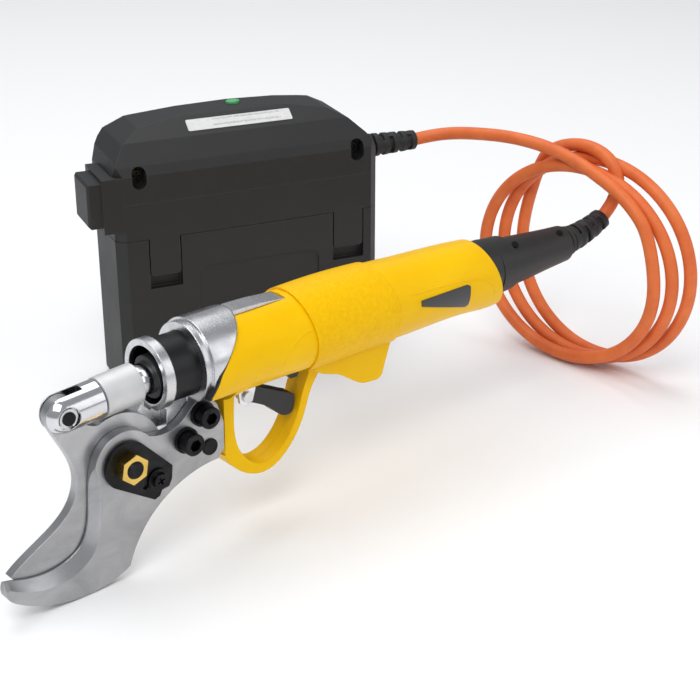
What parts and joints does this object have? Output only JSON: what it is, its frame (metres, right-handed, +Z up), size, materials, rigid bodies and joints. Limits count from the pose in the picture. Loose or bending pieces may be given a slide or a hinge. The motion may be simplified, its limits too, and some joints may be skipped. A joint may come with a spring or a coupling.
{
  "type": "battery electric pruner",
  "caption": "Handheld electric pruner with hooked bypass blades, trigger guard and grip, joined by a coiled cable to a standing battery pack with its cable adapter on top.",
  "frame": {"origin": "centre of the battery's base, on the ground", "axes": "+X along the handset from the blades towards the plug, +Y away from the blades' near face, +Z up"},
  "size_m": [0.3971, 0.2383, 0.1483],
  "materials": {
    "blade_steel": "brushed satin",
    "black_oxide": "black oxide, semi-matt",
    "gold_nut": "yellow zinc plated",
    "chrome": "polished",
    "white_plastic": "satin white",
    "rubber": "matt",
    "dark_tube": "satin dark anodised",
    "steel": "machined",
    "cast_aluminium": "bright satin casting",
    "yellow_plastic": "semi-gloss",
    "yellow_grip": "leather-grained",
    "black_plastic": "fine texture",
    "battery_plastic": "fine spark texture",
    "green_button": "translucent",
    "label_white": "printed film",
    "circuit_board": "solder mask",
    "cell_wrap": "shrink wrap",
    "holder_plastic": "moulded",
    "contact_metal": "plated",
    "orange_cable": "matt jacket"
  },
  "bodies": {
    "body": {"adapter_board": "circuit_board", "badge": "black_plastic", "battery_relief": "rubber", "blade_bolts": "black_oxide", "blade_washers": "black_oxide", "cap_body": "battery_plastic", "cap_cover": "battery_plastic", "cap_screws": "black_oxide", "control_board": "circuit_board", "cord_coil": "orange_cable", "cord_lead": "orange_cable", "cord_tail": "orange_cable", "dowel_pin": "black_oxide", "fixed_blade": "blade_steel", "grip_sleeve": "yellow_grip", "head_casting": "cast_aluminium", "head_gasket": "rubber", "housing_screws": "black_oxide", "left_housing": "yellow_plastic", "lock_plate": "black_oxide", "lock_screw": "black_oxide", "motor": "steel", "pivot_bolt": "black_oxide", "pivot_nut": "gold_nut", "planetary_gearbox": "steel", "plug_body": "black_plastic", "plug_relief": "rubber", "plug_screws": "black_oxide", "rating_label": "label_white", "right_housing": "yellow_plastic", "screw_bearing": "steel", "screw_tube": "dark_tube", "socket_contacts": "contact_metal", "strap_lug": "battery_plastic", "tail_socket": "black_plastic", "trigger_bracket": "cast_aluminium", "trigger_pin": "black_oxide", "trigger_spring": "steel", "trigger_stop": "black_plastic"},
    "moving_blade": {"moving_blade": "blade_steel"},
    "push_rod": {"clevis": "chrome", "clevis_pin": "black_oxide", "e_clip": "black_oxide", "rod_sleeve": "white_plastic", "push_rod": "chrome", "rod_boot": "rubber"},
    "ball_nut": {"ball_nut": "steel", "nut_pin": "steel"},
    "ball_screw": {"ball_screw": "steel"},
    "trigger": {"trigger": "black_plastic"},
    "locking_collar": {"locking_collar": "black_plastic"},
    "power_button": {"power_button": "green_button"},
    "battery": {"battery_front": "battery_plastic", "battery_back": "battery_plastic", "battery_cells": "cell_wrap", "cell_holders": "holder_plastic", "battery_board": "circuit_board", "battery_terminals": "contact_metal"}
  },
  "joints": [
    {"name": "blade_hinge", "type": "hinge", "parent": "body", "child": "moving_blade", "pos_m": [-0.1725, -0.1406, 0.055], "axis": [0, 1, 0], "range_deg": [0, 50]},
    {"name": "clevis_hinge", "type": "hinge", "parent": "moving_blade", "child": "push_rod", "pos_m": [-0.1975, -0.1406, 0.0845], "axis": [0, 1, 0], "range_deg": [-39.81, 0]},
    {"name": "nut_slide", "type": "slide", "parent": "body", "child": "ball_nut", "axis": [1, 0, 0], "range_m": [0, 0.03072]},
    {"name": "screw_spin", "type": "hinge", "parent": "body", "child": "ball_screw", "pos_m": [-0.064, -0.1406, 0.0886], "axis": [1, 0, 0], "range_deg": [-2800, 0]},
    {"name": "trigger_hinge", "type": "hinge", "parent": "body", "child": "trigger", "pos_m": [-0.107, -0.1406, 0.065], "axis": [0, -1, 0], "range_deg": [0, 12], "stiffness_Nm_per_rad": 0.05, "springref_deg": -20.05},
    {"name": "collar_twist", "type": "hinge", "parent": "body", "child": "locking_collar", "pos_m": [0.051, -0.1406, 0.084], "axis": [1, 0, 0], "range_deg": [0, 45]},
    {"name": "power_button_press", "type": "slide", "parent": "body", "child": "power_button", "axis": [0, 0, -1], "range_m": [0, 0.0009], "stiffness_N_per_m": 300, "springref_m": -0.001},
    {"name": "battery_release", "type": "slide", "parent": "body", "child": "battery", "axis": [0, 0, -1], "range_m": [0, 0.06]}
  ],
  "couplings": [
    {"joint": "clevis_hinge", "follows": "blade_hinge", "ratio": -0.796},
    {"joint": "nut_slide", "follows": "blade_hinge", "m_per_rad": 0.035188},
    {"joint": "screw_spin", "follows": "blade_hinge", "ratio": -55.274}
  ]
}
